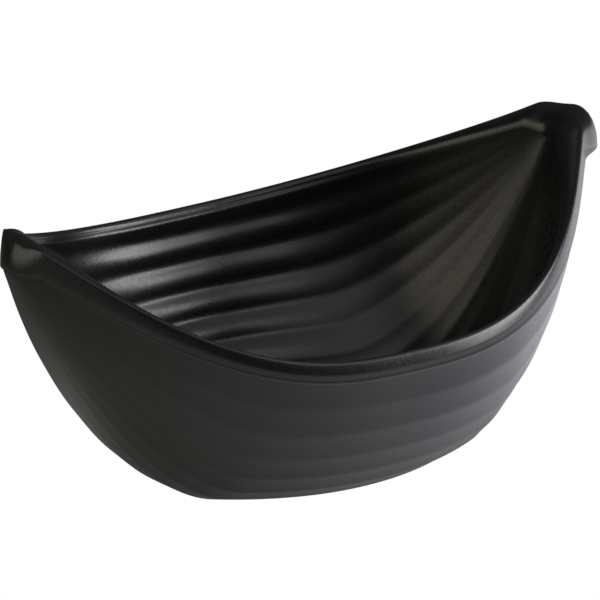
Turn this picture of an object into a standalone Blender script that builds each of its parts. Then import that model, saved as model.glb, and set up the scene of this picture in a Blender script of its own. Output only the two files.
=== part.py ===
"""A boat-shaped serving bowl with plank ribs and a rolled lug at each end, moulded in one piece.

Metres, +Z up, long axis on X, resting on z = 0.
"""

import math

import bmesh
import bpy

# Overall sizes
LENGTH = 0.2583
WIDTH = 0.1754
MID_HEIGHT = 0.0722
END_RISE = 0.0499

# Rim outline and sheer line
OUTLINE_POWER = 2.743
SHEER_POWER = 2.67

# Lugs
LUG_START = 0.936
LUG_HALF_WIDTH = 0.0203
LONGER_LUG_HALF_WIDTH = 0.0240
LUG_SQUARE = 0.70
LUG_BLEND = 4
LUG_TIP_POWER = 3.03
LUG_FLATTEN = 0.0040
LONGER_LUG_FLATTEN = 0.0054
LUG_HEIGHT = 0.0135
LUG_ROUND = 0.0062
LUG_ROLL = 0.0090
LONGER_LUG = 0.0062
SHORTER_LUG_LOWER = 0.0031
LOWER_POWER = 8
SWELL_POWER = 3.84

# Rim collar
COLLAR_HEIGHT = 0.0072
COLLAR_PROUD = 0.0004
COLLAR_TILT = 0.0020
LIP_ROUND = 0.0014
LIP_SQUARE = 0.5
ROLL_WIDTH = 0.0021
RIM_ROLL = 0.0026

# Hull
WALL = 0.0042
BASE_LENGTH = 0.1031
BASE_WIDTH = 0.0560
BASE_TAPER = 1.25
BASE_POWER = 1.2
FLOOR_LONGER = 1.15
FLOOR_SOFTNESS = 0.16
KEEL_POWER = 1.693
END_DEPTH = 0.0212
STEM_SET_BACK = 0.0003
STEM_HALF_WIDTH = 0.0166
INNER_SET_BACK = 0.0126
INNER_POWER = 4
BILGE_Y = 0.874
BILGE_Z = 1.20
TOP_ANGLE = math.radians(72.0)

# Planks
PLANKS = 8
OUTER_RIB = 0.00045
INNER_RIB = 0.0011
RIB_FADE_POWER = 4
ROWS_PER_PLANK = 3

# Mesh
HALF_STATIONS = 26
STATION_EVEN = 0.06
LIP_STEPS = 4
WELD = 0.00001

HALF_LENGTH = (LENGTH - LONGER_LUG) / 2
FLAT_SHARE = BASE_LENGTH / 2 / HALF_LENGTH
ROWS = PLANKS * ROWS_PER_PLANK


def mix(a, b, share):
    return a + (b - a) * share


def lug_share(u):
    """0 along the sides, rising smoothly to 1 at the tip of a lug."""
    s = min(max((abs(u) - LUG_START) / (1.0 - LUG_START), 0.0), 1.0)
    return s * s * (3.0 - 2.0 * s)


def swelling(middle, end, u):
    """A size of the rim, which swells from the middle of the bowl to its ends."""
    return mix(middle, end, abs(u) ** SWELL_POWER)


def place(u, beyond):
    """Place along the length of share u, which runs from -1 to 1, moved so far beyond the end."""
    return u * HALF_LENGTH + beyond * math.copysign(1.0, u) - LONGER_LUG / 2


def outline(u, inset, end_half):
    """Half the width at share u of the length: a boat's outline that ends in a blunt tab."""
    body = (WIDTH / 2 - inset) * (1.0 - abs(u) ** OUTLINE_POWER)
    along = max((abs(u) - LUG_SQUARE) / (1.0 - LUG_SQUARE), 0.0)
    tab = max(end_half, 0.0) * math.sqrt(max(1.0 - along**LUG_TIP_POWER, 0.0))
    return (max(body, 0.0) ** LUG_BLEND + tab**LUG_BLEND) ** (1.0 / LUG_BLEND)


def rim_top(u):
    """Height of the rim's crest."""
    sheer = MID_HEIGHT + END_RISE * abs(u) ** SHEER_POWER
    if u > 0.0:
        return sheer - LONGER_LUG_FLATTEN * lug_share(u)
    return sheer - LUG_FLATTEN * lug_share(u) - SHORTER_LUG_LOWER * abs(u) ** LOWER_POWER


def keel(u, softness):
    """Height of the keel, which starts to rise where the flat base ends."""
    share = (abs(u) - FLAT_SHARE) / (1.0 - FLAT_SHARE)
    share = (share + math.hypot(share, softness)) / 2
    return (MID_HEIGHT + END_RISE - END_DEPTH) * share**KEEL_POWER


def bilge(row):
    """How far across and how far up a row of the hull lies, as shares."""
    angle = TOP_ANGLE * row / ROWS
    across = (math.sin(angle) / math.sin(TOP_ANGLE)) ** BILGE_Y
    up = (1.0 - math.cos(angle) ** BILGE_Z) / (1.0 - math.cos(TOP_ANGLE) ** BILGE_Z)
    return angle, across, up


def hull_point(u, row, flat, wide, low, high, rib):
    """Across and up for one row, from the edge of the floor to the collar, with its plank bent in."""
    angle, across, up = bilge(row)
    share = (row % ROWS_PER_PLANK) / ROWS_PER_PLANK
    size = wide / (WIDTH / 2) * (high - low) / MID_HEIGHT * (1.0 - abs(u) ** RIB_FADE_POWER)
    bend = rib * 4.0 * share * (1.0 - share) * size
    y = mix(flat, wide, across) - bend * math.sin(angle)
    z = mix(low, high, up) + bend * math.cos(angle)
    return max(y, 0.0), z


def outside_point(u, row):
    lug = lug_share(u)
    flat = BASE_WIDTH / 2 * max(1.0 - (u / FLAT_SHARE / BASE_TAPER) ** 2, 0.0) ** BASE_POWER
    wide = outline(u, COLLAR_PROUD, STEM_HALF_WIDTH)
    high = rim_top(u) - swelling(COLLAR_HEIGHT, LUG_HEIGHT, u)
    y, z = hull_point(u, row, flat, wide, keel(u, 0.0), high, OUTER_RIB)
    return place(u, -STEM_SET_BACK * lug), y, z


def inside_point(u, row):
    flat = (BASE_WIDTH - WALL) / 2 * max(1.0 - (u / FLAT_SHARE / FLOOR_LONGER) ** 2, 0.0) ** 2
    inset = swelling(LIP_ROUND, LUG_ROUND, u) + COLLAR_TILT + ROLL_WIDTH
    wide = outline(u, inset, STEM_HALF_WIDTH - WALL)
    high = rim_top(u) - swelling(RIM_ROLL, LUG_ROLL, u)
    y, z = hull_point(u, row, flat, wide, keel(u, FLOOR_SOFTNESS) + WALL, high, INNER_RIB)
    return place(u, -INNER_SET_BACK * u**INNER_POWER), y, z


def collar_point(u, turn):
    """The outer face of the rim, from the collar's lower edge at turn 0 to the crest."""
    lug = lug_share(u)
    square = mix(LIP_SQUARE, 1.0, lug)
    height = swelling(COLLAR_HEIGHT, LUG_HEIGHT, u)
    drop = height * (1.0 - math.sin(turn) ** square)
    bend = swelling(LIP_ROUND, LUG_ROUND, u) * (1.0 - math.cos(turn) ** square)
    inset = bend + COLLAR_TILT * (1.0 - lug) * (1.0 - drop / height)
    longer = LONGER_LUG if u > 0.0 else 0.0
    half = LONGER_LUG_HALF_WIDTH if u > 0.0 else LUG_HALF_WIDTH
    x = place(u, (longer - bend) * lug)
    return x, outline(u, inset, half - inset), rim_top(u) - drop


def roll_point(u, turn):
    """The inner face of the rim, rolled from the crest at turn 0 to the top of the inside."""
    crest = collar_point(u, math.pi / 2)
    wall = inside_point(u, ROWS)
    x = mix(crest[0], wall[0], math.sin(turn))
    y = mix(crest[1], wall[1], math.sin(turn))
    z = mix(crest[2], wall[2], 1.0 - math.cos(turn))
    return x, y, z


def section(u):
    """Half a cross section at share u, from the middle of the base outside to the middle inside."""
    turns = [math.pi / 2 * step / LIP_STEPS for step in range(LIP_STEPS + 1)]
    outside = [outside_point(u, row) for row in range(ROWS + 1)]
    collar = [collar_point(u, turn) for turn in turns]
    roll = [roll_point(u, turn) for turn in turns[1:-1]]
    inside = [inside_point(u, row) for row in range(ROWS, -1, -1)]
    first = (outside[0][0], 0.0, outside[0][2])
    last = (inside[-1][0], 0.0, inside[-1][2])
    return [first] + outside + collar + roll + inside + [last]


def station_shares():
    """Shares of the length from one end to the other, closer together near the ends."""
    shares = []
    for i in range(-HALF_STATIONS, HALF_STATIONS + 1):
        s = i / HALF_STATIONS
        shares.append(mix(math.sin(math.pi / 2 * s), s, STATION_EVEN))
    return shares


def satin_black():
    material = bpy.data.materials.new("satin_black")
    material.use_nodes = True
    shader = material.node_tree.nodes["Principled BSDF"]
    shader.inputs["Base Color"].default_value = (0.018, 0.018, 0.019, 1.0)
    shader.inputs["Roughness"].default_value = 0.42
    return material


def build_bowl():
    """The half at +Y as one sheet, mirrored across the keel into a closed shell."""
    bm = bmesh.new()
    columns = [[bm.verts.new(point) for point in section(u)] for u in station_shares()]
    for left, right in zip(columns, columns[1:]):
        for row in range(len(left) - 1):
            bm.faces.new([left[row + 1], right[row + 1], right[row], left[row]])
    bmesh.ops.remove_doubles(bm, verts=bm.verts, dist=WELD)
    bmesh.ops.dissolve_degenerate(bm, edges=bm.edges, dist=WELD)
    mesh = bpy.data.meshes.new("bowl")
    bm.to_mesh(mesh)
    bm.free()
    mesh.shade_smooth()
    mesh.set_sharp_from_angle(angle=math.radians(40.0))
    mesh.materials.append(satin_black())
    bowl = bpy.data.objects.new("bowl", mesh)
    bpy.context.scene.collection.objects.link(bowl)
    mirror = bowl.modifiers.new("other_half", "MIRROR")
    mirror.use_axis = (False, True, False)
    mirror.merge_threshold = WELD * 2.0


for leftover in list(bpy.data.objects):
    bpy.data.objects.remove(leftover)
build_bowl()
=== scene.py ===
"""Looks of a satin black, plank-ribbed, boat-shaped serving bowl on a floor that the camera sees as
plain white, and that the gloss shows with painted light and painted shadow.
"""

import math

import bmesh
import bpy
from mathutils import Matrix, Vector


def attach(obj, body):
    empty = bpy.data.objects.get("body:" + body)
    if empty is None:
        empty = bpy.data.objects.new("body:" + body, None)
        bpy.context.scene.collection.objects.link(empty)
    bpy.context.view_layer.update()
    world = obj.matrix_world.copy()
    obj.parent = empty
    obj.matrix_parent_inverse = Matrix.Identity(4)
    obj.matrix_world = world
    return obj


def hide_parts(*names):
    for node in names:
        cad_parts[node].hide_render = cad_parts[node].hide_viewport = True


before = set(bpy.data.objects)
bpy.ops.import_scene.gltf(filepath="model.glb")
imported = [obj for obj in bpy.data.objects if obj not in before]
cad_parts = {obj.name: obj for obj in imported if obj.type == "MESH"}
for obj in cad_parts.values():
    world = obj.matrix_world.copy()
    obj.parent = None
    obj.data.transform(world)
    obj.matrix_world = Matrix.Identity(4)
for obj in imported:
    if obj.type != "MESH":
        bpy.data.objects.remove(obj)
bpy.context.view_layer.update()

# Sizes of the bowl in metres, as in the solid model
LENGTH = 0.2583
WIDTH = 0.1754
MID_HEIGHT = 0.0722
END_RISE = 0.0499
OUTLINE_POWER = 2.743
SHEER_POWER = 2.67
LUG_START = 0.936
LUG_HALF_WIDTH = 0.0203
LONGER_LUG_HALF_WIDTH = 0.0240
LUG_SQUARE = 0.70
LUG_BLEND = 4
LUG_TIP_POWER = 3.03
LUG_FLATTEN = 0.0040
LONGER_LUG_FLATTEN = 0.0054
LUG_HEIGHT = 0.0135
LUG_ROUND = 0.0062
LUG_ROLL = 0.0090
LONGER_LUG = 0.0062
SHORTER_LUG_LOWER = 0.0031
LOWER_POWER = 8
SWELL_POWER = 3.84
COLLAR_HEIGHT = 0.0072
COLLAR_PROUD = 0.0004
COLLAR_TILT = 0.0020
LIP_ROUND = 0.0014
LIP_SQUARE = 0.5
ROLL_WIDTH = 0.0021
RIM_ROLL = 0.0026
WALL = 0.0042
BASE_LENGTH = 0.1031
BASE_WIDTH = 0.0560
BASE_TAPER = 1.25
BASE_POWER = 1.2
FLOOR_LONGER = 1.15
FLOOR_SOFTNESS = 0.16
KEEL_POWER = 1.693
END_DEPTH = 0.0212
STEM_SET_BACK = 0.0003
STEM_HALF_WIDTH = 0.0166
INNER_SET_BACK = 0.0126
INNER_POWER = 4
BILGE_Y = 0.874
BILGE_Z = 1.20
TOP_ANGLE = math.radians(72.0)
PLANKS = 8
OUTER_RIB = 0.00045
INNER_RIB = 0.0011
RIB_FADE_POWER = 4

# How the planks are shown
DEPTH_LEAST = 0.65
DEPTH_VARIES = 0.7
UNEVENNESS = 0.20
DRIFT_SCALE = 11.0
SWELL_SCALE = 19.0
INNER_DEPTH = INNER_RIB * 0.9
INNER_NARROWER = 1.136
INNER_SHIFT = 0.434
INNER_ROUND = 1.3
GROOVE_PLANK = PLANKS - 0.65
GROOVE_HALF_WIDTH = 0.22
GROOVE_DEPTH = 0.3
CALM_LENGTH = 0.09
CALM = 0.5

# Surface of the bowl
DARK = (0.0035, 0.0035, 0.0037, 1.0)
WORN = (0.024, 0.0238, 0.0238, 1.0)
GRAIN_SCALE = 1500.0
SPECK_SCALE = 700.0
CLOUD_SCALE = 28.0
ROUGHNESS = 0.29
CLOUD_ROUGHNESS = 0.10
SPECK_ROUGHNESS = 0.12
RUBBED_SMOOTHER = 0.06
BUMP_STRENGTH = 0.35
BUMP_DISTANCE = 0.0001

# Floor, as the gloss shows it: painted light brighter towards the key, a painted shadow behind the
# bowl and round its foot, a painted pool of light, and a painted bounce glow
FLOOR_HALF = 9.0
FLOOR_DROP = 0.0004
# Strength of the floor's painted bounce light, a glow for rays that are neither camera nor gloss
# rays
FLOOR_BOUNCE_GLOW = 0.45
KEY_X, KEY_Y = 0.82, -0.57
# Painted light of the floor in the gloss: its level, its rise towards the key light, the extra glow
# on the key's side and how far it reaches
FLOOR_LEVEL = 0.66
FLOOR_SLOPE = 0.40
FLOOR_GLOW = 0.45
FLOOR_REACH = 0.6
# Depth of the painted shadow on the floor behind the bowl
BEHIND_SHADOW_DEPTH = 0.7
# Painted contact shadow round the foot: its reach across and along, and how bright the floor stays
# inside it
FOOT_X, FOOT_Y = 0.060, 0.034
FOOT_SHADOW_LEVEL = 0.25
# Painted pool of light on the floor at the right front: its place, reach and brightness
LIGHT_POOL_X, LIGHT_POOL_Y = 0.70, -0.10
LIGHT_POOL_REACH = 0.75
LIGHT_POOL_LEVEL = 1.2

# Room and lights: degrees round from +X, degrees up, distance, size, power and colour
ROOM_LEVEL = 0.03
CEILING_LEVEL = 0.50
CEILING_LEFT = 0.20
WHITE = (1.0, 1.0, 1.0)
WARM = (1.0, 0.94, 0.77)
LIGHT_AIM = Vector((0.0, 0.0, 0.06))
LIGHTS = {
    "key_softbox": (-34.0, 18.0, 1.2, (0.80, 0.66), 14.0, WHITE),
    "left_panel": (170.0, 16.0, 1.2, (0.98, 0.78), 3.5, WARM),
    "front_panel": (-80.0, 42.0, 1.3, (0.6, 0.45), 0.9, WHITE),
}

# Camera
CAMERA_TURN = math.radians(31.45)
CAMERA_LIFT = math.radians(21.91)
CAMERA_DISTANCE = 9.0
CAMERA_AIM = Vector((-0.00015, 0.0001, 0.06295))
SENSOR_WIDTH = 36.0
VIEW_WIDTH = 0.22671

# Fineness of the mesh
HALF_STATIONS = 84
STATION_EVEN = 0.15
ROWS_PER_PLANK = 9
LIP_STEPS = 8
WELD = 0.00001

HALF_LENGTH = (LENGTH - LONGER_LUG) / 2
FLAT_SHARE = BASE_LENGTH / 2 / HALF_LENGTH
ROWS = PLANKS * ROWS_PER_PLANK


def mix(a, b, share):
    return a + (b - a) * share


def lug_share(u):
    """0 along the sides, rising smoothly to 1 at the tip of a lug."""
    s = min(max((abs(u) - LUG_START) / (1.0 - LUG_START), 0.0), 1.0)
    return s * s * (3.0 - 2.0 * s)


def swelling(middle, end, u):
    """A size of the rim, which swells from the middle of the bowl to its ends."""
    return mix(middle, end, abs(u) ** SWELL_POWER)


def place(u, beyond):
    """Place along the length of share u, which runs from -1 to 1, moved so far beyond the end."""
    return u * HALF_LENGTH + beyond * math.copysign(1.0, u) - LONGER_LUG / 2


def outline(u, inset, end_half):
    """Half the width at share u of the length: a boat's outline that ends in a blunt tab."""
    body = (WIDTH / 2 - inset) * (1.0 - abs(u) ** OUTLINE_POWER)
    along = max((abs(u) - LUG_SQUARE) / (1.0 - LUG_SQUARE), 0.0)
    tab = max(end_half, 0.0) * math.sqrt(max(1.0 - along**LUG_TIP_POWER, 0.0))
    return (max(body, 0.0) ** LUG_BLEND + tab**LUG_BLEND) ** (1.0 / LUG_BLEND)


def rim_top(u):
    """Height of the rim's crest."""
    sheer = MID_HEIGHT + END_RISE * abs(u) ** SHEER_POWER
    if u > 0.0:
        return sheer - LONGER_LUG_FLATTEN * lug_share(u)
    return sheer - LUG_FLATTEN * lug_share(u) - SHORTER_LUG_LOWER * abs(u) ** LOWER_POWER


def keel(u, softness):
    """Height of the keel, which starts to rise where the flat base ends."""
    share = (abs(u) - FLAT_SHARE) / (1.0 - FLAT_SHARE)
    share = (share + math.hypot(share, softness)) / 2
    return (MID_HEIGHT + END_RISE - END_DEPTH) * share**KEEL_POWER


def hull_point(u, row, flat, wide, low, high):
    """Across and up for one row of the smooth hull, and how large its planks are there."""
    angle = TOP_ANGLE * row / ROWS
    across = (math.sin(angle) / math.sin(TOP_ANGLE)) ** BILGE_Y
    up = (1.0 - math.cos(angle) ** BILGE_Z) / (1.0 - math.cos(TOP_ANGLE) ** BILGE_Z)
    size = wide / (WIDTH / 2) * (high - low) / MID_HEIGHT * (1.0 - abs(u) ** RIB_FADE_POWER)
    return max(mix(flat, wide, across), 0.0), mix(low, high, up), size


def outside_point(u, row):
    """A place outside, its plank, how deep the plank is hollowed, and how much it is rim."""
    lug = lug_share(u)
    flat = BASE_WIDTH / 2 * max(1.0 - (u / FLAT_SHARE / BASE_TAPER) ** 2, 0.0) ** BASE_POWER
    wide = outline(u, COLLAR_PROUD, STEM_HALF_WIDTH)
    high = rim_top(u) - swelling(COLLAR_HEIGHT, LUG_HEIGHT, u)
    y, z, size = hull_point(u, row, flat, wide, keel(u, 0.0), high)
    return (place(u, -STEM_SET_BACK * lug), y, z), row / ROWS_PER_PLANK, -size, 0.0


def inside_point(u, row):
    """A place inside, its plank, how far the plank bulges, and how much it is rim."""
    flat = (BASE_WIDTH - WALL) / 2 * max(1.0 - (u / FLAT_SHARE / FLOOR_LONGER) ** 2, 0.0) ** 2
    inset = swelling(LIP_ROUND, LUG_ROUND, u) + COLLAR_TILT + ROLL_WIDTH
    wide = outline(u, inset, STEM_HALF_WIDTH - WALL)
    high = rim_top(u) - swelling(RIM_ROLL, LUG_ROLL, u)
    y, z, size = hull_point(u, row, flat, wide, keel(u, FLOOR_SOFTNESS) + WALL, high)
    return (place(u, -INNER_SET_BACK * u**INNER_POWER), y, z), row / ROWS_PER_PLANK, size, 0.0


def collar_point(u, turn):
    """A place on the outer face of the rim, from the collar's lower edge at turn 0 to the crest."""
    lug = lug_share(u)
    square = mix(LIP_SQUARE, 1.0, lug)
    height = swelling(COLLAR_HEIGHT, LUG_HEIGHT, u)
    drop = height * (1.0 - math.sin(turn) ** square)
    bend = swelling(LIP_ROUND, LUG_ROUND, u) * (1.0 - math.cos(turn) ** square)
    inset = bend + COLLAR_TILT * (1.0 - lug) * (1.0 - drop / height)
    longer = LONGER_LUG if u > 0.0 else 0.0
    half = LONGER_LUG_HALF_WIDTH if u > 0.0 else LUG_HALF_WIDTH
    x = place(u, (longer - bend) * lug)
    y = outline(u, inset, half - inset)
    return (x, y, rim_top(u) - drop), PLANKS, 0.0, math.sin(turn) ** 4


def roll_point(u, turn):
    """A place on the inner face of the rim, from the crest at turn 0 to the top of the inside."""
    crest = collar_point(u, math.pi / 2)[0]
    wall = inside_point(u, ROWS)[0]
    x = mix(crest[0], wall[0], math.sin(turn))
    y = mix(crest[1], wall[1], math.sin(turn))
    z = mix(crest[2], wall[2], 1.0 - math.cos(turn))
    return (x, y, z), PLANKS, 0.0, math.cos(turn) ** 2


def section(u):
    """Half a cross section at share u, from the middle of the base outside to the middle inside."""
    turns = [math.pi / 2 * step / LIP_STEPS for step in range(LIP_STEPS + 1)]
    points = [outside_point(u, row) for row in range(ROWS + 1)]
    points += [collar_point(u, turn) for turn in turns]
    points += [roll_point(u, turn) for turn in turns[1:-1]]
    points += [inside_point(u, row) for row in range(ROWS, -1, -1)]
    middle = [((p[0][0], 0.0, p[0][2]), 0.0, 0.0, 0.0) for p in (points[0], points[-1])]
    return [middle[0]] + points + [middle[1]]


def station_shares():
    """Shares of the length from one end to the other, closer together near the ends."""
    shares = []
    for i in range(-HALF_STATIONS, HALF_STATIONS + 1):
        s = i / HALF_STATIONS
        shares.append(mix(math.sin(math.pi / 2 * s), s, STATION_EVEN))
    return shares


def smooth_shell():
    """The bowl without its planks, each point knowing its plank, how deep that is, and the rim."""
    bm = bmesh.new()
    layers = [bm.verts.layers.float.new(name) for name in ("plank", "hollow", "rim")]
    sections = [section(u) for u in station_shares()]
    for side in (1.0, -1.0):
        columns = []
        for points in sections:
            column = []
            for (x, y, z), *values in points:
                vertex = bm.verts.new((x, side * y, z))
                for layer, value in zip(layers, values):
                    vertex[layer] = value
                column.append(vertex)
            columns.append(column)
        for left, right in zip(columns, columns[1:]):
            for row in range(len(left) - 1):
                corners = [left[row], right[row], right[row + 1], left[row + 1]]
                bm.faces.new(corners[::-1] if side > 0 else corners)
    bmesh.ops.remove_doubles(bm, verts=bm.verts, dist=WELD)
    bmesh.ops.dissolve_degenerate(bm, edges=bm.edges, dist=WELD)
    mesh = bpy.data.meshes.new("smooth_shell")
    bm.to_mesh(mesh)
    bm.free()
    mesh.shade_smooth()
    shell = bpy.data.objects.new("smooth_shell", mesh)
    bpy.context.scene.collection.objects.link(shell)
    return shell


class Wire:
    """An output of a node that can be used in sums, or a bare tree to add the first nodes to."""

    def __init__(self, tree, socket=None):
        self.tree = tree
        self.socket = socket

    def feed(self, target, value):
        """Links a wire into a socket, or sets the socket's own value."""
        if isinstance(value, Wire):
            self.tree.links.new(value.socket, target)
        else:
            target.default_value = value

    def node(self, kind, inputs=None, output=0, **settings):
        """Adds any node, sets it, and gives one of its outputs."""
        node = self.tree.nodes.new(kind)
        for name, value in settings.items():
            setattr(node, name, value)
        for name, value in (inputs or {}).items():
            self.feed(node.inputs[name], value)
        return Wire(self.tree, node.outputs[output] if len(node.outputs) else None)

    def math(self, operation, *values):
        """Adds a sum or another function of values and wires."""
        return self.node("ShaderNodeMath", dict(enumerate(values)), operation=operation)

    def __add__(self, other):
        return self.math("ADD", self, other)

    def __radd__(self, other):
        return self.math("ADD", other, self)

    def __sub__(self, other):
        return self.math("SUBTRACT", self, other)

    def __rsub__(self, other):
        return self.math("SUBTRACT", other, self)

    def __mul__(self, other):
        return self.math("MULTIPLY", self, other)

    def __rmul__(self, other):
        return self.math("MULTIPLY", other, self)

    def __truediv__(self, other):
        return self.math("DIVIDE", self, other)

    def __rtruediv__(self, other):
        return self.math("DIVIDE", other, self)

    def __pow__(self, other):
        return self.math("POWER", self, other)

    def ease(self, low, high):
        """0 up to low, 1 from high on, smooth between."""
        inputs = {"Value": self, "From Min": low, "From Max": high}
        return self.node("ShaderNodeMapRange", inputs, interpolation_type="SMOOTHSTEP")


def plank_tree(material):
    """Geometry nodes that hollow each plank outside, and swell it inside, calmer towards +X."""
    tree = bpy.data.node_groups.new("planks", "GeometryNodeTree")
    sockets = tree.interface
    sockets.new_socket("Geometry", in_out="INPUT", socket_type="NodeSocketGeometry")
    for name in ("Outer Depth", "Inner Depth", "Unevenness"):
        sockets.new_socket(name, in_out="INPUT", socket_type="NodeSocketFloat")
    sockets.new_socket("Geometry", in_out="OUTPUT", socket_type="NodeSocketGeometry")
    given = tree.nodes.new("NodeGroupInput")
    start = Wire(tree)
    geometry = Wire(tree, given.outputs["Geometry"])
    outer = Wire(tree, given.outputs["Outer Depth"])
    inner = Wire(tree, given.outputs["Inner Depth"])
    uneven = Wire(tree, given.outputs["Unevenness"])
    plank = start.node("GeometryNodeInputNamedAttribute", {"Name": "plank"})
    hollow = start.node("GeometryNodeInputNamedAttribute", {"Name": "hollow"})
    drift = start.node("ShaderNodeTexNoise", {"Scale": DRIFT_SCALE, "Detail": 1.0})
    swell = start.node("ShaderNodeTexNoise", {"Scale": SWELL_SCALE, "Detail": 0.0})
    wander = (drift - 0.5) * uneven
    share = start.math("FRACT", plank + wander)
    dish = share * (1.0 - share) * 4.0
    sunk = start.math("MINIMUM", hollow, 0.0) * dish * outer
    inside = start.math("FRACT", plank * INNER_NARROWER + INNER_SHIFT + wander)
    groove = start.math("ABSOLUTE", plank - GROOVE_PLANK).ease(GROOVE_HALF_WIDTH, 0.0)
    pillow = (inside * (1.0 - inside) * 4.0) ** INNER_ROUND - groove * GROOVE_DEPTH
    where = start.node("GeometryNodeInputPosition")
    along = start.node("ShaderNodeSeparateXYZ", {0: where}, output="X")
    calm = 1.0 - along.ease(0.0, CALM_LENGTH) * CALM
    raised = start.math("MAXIMUM", hollow, 0.0) * pillow * inner * calm
    amount = (sunk + raised) * (swell * DEPTH_VARIES + DEPTH_LEAST)
    normal = start.node("GeometryNodeInputNormal")
    scaled = {"Vector": normal, "Scale": amount}
    offset = start.node("ShaderNodeVectorMath", scaled, operation="SCALE")
    moved = start.node("GeometryNodeSetPosition", {"Geometry": geometry, "Offset": offset})
    solid = start.node("GeometryNodeRealizeInstances", {"Geometry": moved})
    painted = start.node("GeometryNodeSetMaterial", {"Geometry": solid, "Material": material})
    start.node("NodeGroupOutput", {"Geometry": painted})
    return tree


def satin_black():
    """Moulded satin black with a fine grain, faint clouds and a rim rubbed lighter and smoother."""
    material = bpy.data.materials.new("satin_black")
    material.use_nodes = True
    tree = material.node_tree
    shader = tree.nodes["Principled BSDF"]
    start = Wire(tree)
    where = start.node("ShaderNodeTexCoord", output="Object")
    rim = start.node("ShaderNodeAttribute", output="Fac", attribute_name="rim")
    grain = start.node("ShaderNodeTexNoise", {"Vector": where, "Scale": GRAIN_SCALE, "Detail": 2.0})
    speck = start.node("ShaderNodeTexNoise", {"Vector": where, "Scale": SPECK_SCALE, "Detail": 1.0})
    cloud = start.node("ShaderNodeTexNoise", {"Vector": where, "Scale": CLOUD_SCALE, "Detail": 3.0})
    rubbed = rim * cloud.ease(0.35, 0.75)
    uneven = (cloud - 0.5) * CLOUD_ROUGHNESS + (speck - 0.5) * SPECK_ROUGHNESS
    start.feed(shader.inputs["Roughness"], ROUGHNESS + uneven - rubbed * RUBBED_SMOOTHER)
    tone = cloud * 0.1 + rim * 0.5 + rubbed * 0.4
    colours = {"Factor": tone, 6: DARK, 7: WORN}
    paint = start.node("ShaderNodeMix", colours, output=2, data_type="RGBA")
    start.feed(shader.inputs["Base Color"], paint)
    height = grain * 0.6 + speck * 0.4
    relief = {"Strength": BUMP_STRENGTH, "Distance": BUMP_DISTANCE, "Height": height}
    start.feed(shader.inputs["Normal"], start.node("ShaderNodeBump", relief))
    return material


def build_bowl():
    """The shell with its planks, as one plain mesh."""
    material = satin_black()
    shell = smooth_shell()
    modifier = shell.modifiers.new("planks", "NODES")
    modifier.node_group = plank_tree(material)
    items = modifier.node_group.interface.items_tree
    names = {item.name: item.identifier for item in items if item.in_out == "INPUT"}
    modifier[names["Outer Depth"]] = OUTER_RIB
    modifier[names["Inner Depth"]] = INNER_DEPTH
    modifier[names["Unevenness"]] = UNEVENNESS
    graph = bpy.context.evaluated_depsgraph_get()
    mesh = bpy.data.meshes.new_from_object(shell.evaluated_get(graph))
    bpy.data.objects.remove(shell)
    mesh.name = "ribbed_bowl"
    bowl = bpy.data.objects.new("ribbed_bowl", mesh)
    bpy.context.scene.collection.objects.link(bowl)
    return bowl


def floor_white_painted_light():
    """White to the camera; in the gloss it is painted brighter towards the key light and dimmer far
    off, with a painted shadow behind the bowl and round its foot and a painted pool of light; to
    other rays it glows as painted bounce light.
    """
    material = bpy.data.materials.new("floor_white_painted_light")
    material.use_nodes = True
    tree = material.node_tree
    tree.nodes.clear()
    start = Wire(tree)
    where = start.node("ShaderNodeTexCoord", output="Object")
    x = start.node("ShaderNodeSeparateXYZ", {0: where}, output="X")
    y = start.node("ShaderNodeSeparateXYZ", {0: where}, output="Y")
    reach = start.math("SQRT", x * x + y * y + 0.01)
    # Painted light in the gloss: the floor is brighter and cooler in tint towards the key light,
    # and dimmer far off
    towards = (x * KEY_X + y * KEY_Y) / reach
    # Painted shadow: the floor behind the bowl is darker, as if in the bowl's shade
    shadow_behind = (y / reach).ease(0.2, 0.85)
    glow = start.math("MAXIMUM", towards, 0.0) ** 3.0 * FLOOR_GLOW
    lit = FLOOR_LEVEL + towards * FLOOR_SLOPE + glow
    # Painted contact shadow: close round the foot the floor is darker; clear is the share of the
    # floor out of that shadow
    foot = start.math("SQRT", (x / FOOT_X) ** 2.0 + (y / FOOT_Y) ** 2.0)
    clear = FOOT_SHADOW_LEVEL + foot.ease(1.0, 2.6) * (1.0 - FOOT_SHADOW_LEVEL)
    after_painted_shadows = (1.0 - shadow_behind * BEHIND_SHADOW_DEPTH) * clear
    # Painted pool of light: a brighter patch of floor at the right front
    from_light_pool = start.math("SQRT", (x - LIGHT_POOL_X) ** 2.0 + (y - LIGHT_POOL_Y) ** 2.0)
    light_pool = from_light_pool.ease(LIGHT_POOL_REACH, 0.0) * LIGHT_POOL_LEVEL
    level = lit * after_painted_shadows / (1.0 + (reach / FLOOR_REACH) ** 2.0) + light_pool
    blue = level * (0.98 + towards * 0.11)
    parts = {"Red": level, "Green": level * 0.985, "Blue": blue}
    shades = start.node("ShaderNodeCombineColor", parts)
    seen = start.node("ShaderNodeEmission", {"Strength": 1.0})
    mirrored = start.node("ShaderNodeEmission", {"Color": shades})
    # Painted bounce light: to rays that are neither camera nor gloss rays the floor glows evenly,
    # as a lit floor would
    other = start.node("ShaderNodeEmission", {"Strength": FLOOR_BOUNCE_GLOW})
    glossy = start.node("ShaderNodeLightPath", output="Is Glossy Ray")
    camera = start.node("ShaderNodeLightPath", output="Is Camera Ray")
    unseen = start.node("ShaderNodeMixShader", {0: glossy, 1: other, 2: mirrored})
    both = start.node("ShaderNodeMixShader", {0: camera, 1: unseen, 2: seen})
    start.node("ShaderNodeOutputMaterial", {"Surface": both})
    return material


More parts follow.
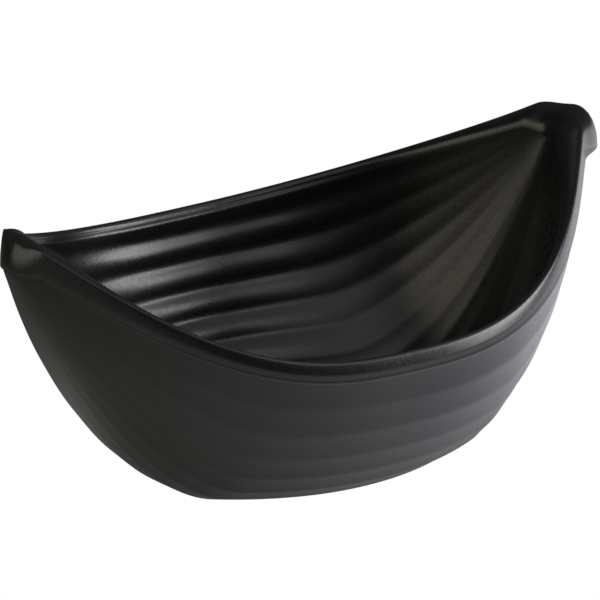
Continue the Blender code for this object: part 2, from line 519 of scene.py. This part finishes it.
def build_floor():
    """A wide floor just under the bowl."""
    bm = bmesh.new()
    bmesh.ops.create_grid(bm, x_segments=2, y_segments=2, size=FLOOR_HALF)
    mesh = bpy.data.meshes.new("floor")
    bm.to_mesh(mesh)
    bm.free()
    mesh.materials.append(floor_white_painted_light())
    floor = bpy.data.objects.new("floor", mesh)
    floor.location = (0.0, 0.0, -FLOOR_DROP)
    bpy.context.scene.collection.objects.link(floor)


def build_world():
    """A dim room, lighter overhead and most at the left, that the camera sees as white."""
    world = bpy.data.worlds.new("studio")
    world.use_nodes = True
    tree = world.node_tree
    tree.nodes.clear()
    start = Wire(tree)
    where = start.node("ShaderNodeTexCoord", output="Generated")
    up = start.node("ShaderNodeSeparateXYZ", {0: where}, output="Z")
    back = start.node("ShaderNodeSeparateXYZ", {0: where}, output="Y")
    along = start.node("ShaderNodeSeparateXYZ", {0: where}, output="X")
    ceiling = up.ease(0.35, 0.8) * back.ease(0.3, -0.2)
    level = ROOM_LEVEL + ceiling * (CEILING_LEVEL + along.ease(0.3, -0.3) * CEILING_LEFT)
    shades = start.node("ShaderNodeCombineColor", {"Red": level, "Green": level, "Blue": level})
    room = start.node("ShaderNodeBackground", {"Color": shades})
    white = start.node("ShaderNodeBackground", {"Strength": 1.0, "Color": (1.0, 1.0, 1.0, 1.0)})
    camera = start.node("ShaderNodeLightPath", output="Is Camera Ray")
    both = start.node("ShaderNodeMixShader", {0: camera, 1: room, 2: white})
    start.node("ShaderNodeOutputWorld", {"Surface": both})
    bpy.context.scene.world = world


def soft_light(name, turn, lift, distance, size, power, colour):
    """A soft box seen from the bowl at so many degrees round from +X and so many up."""
    turn = math.radians(turn)
    lift = math.radians(lift)
    level = math.cos(lift)
    away = Vector((math.cos(turn) * level, math.sin(turn) * level, math.sin(lift)))
    light = bpy.data.lights.new(name, "AREA")
    light.shape = "RECTANGLE"
    light.size = size[0]
    light.size_y = size[1]
    light.energy = power
    light.color = colour
    lamp = bpy.data.objects.new(name, light)
    lamp.location = LIGHT_AIM + away * distance
    lamp.rotation_euler = (-away).to_track_quat("-Z", "Y").to_euler()
    bpy.context.scene.collection.objects.link(lamp)


def build_camera():
    """A long lens from the front left, nearly parallel rays."""
    level = math.cos(CAMERA_LIFT)
    x = -math.sin(CAMERA_TURN) * level
    y = -math.cos(CAMERA_TURN) * level
    towards = Vector((x, y, math.sin(CAMERA_LIFT)))
    data = bpy.data.cameras.new("camera")
    data.sensor_width = SENSOR_WIDTH
    data.lens = SENSOR_WIDTH * CAMERA_DISTANCE / VIEW_WIDTH
    camera = bpy.data.objects.new("camera", data)
    camera.location = CAMERA_AIM + towards * CAMERA_DISTANCE
    camera.rotation_euler = (-towards).to_track_quat("-Z", "Y").to_euler()
    bpy.context.scene.collection.objects.link(camera)
    bpy.context.scene.camera = camera


bowl = build_bowl()
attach(bowl, "root")
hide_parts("bowl")
build_floor()
build_world()
for name, values in LIGHTS.items():
    soft_light(name, *values)
build_camera()
bpy.context.scene.view_settings.view_transform = "Standard"
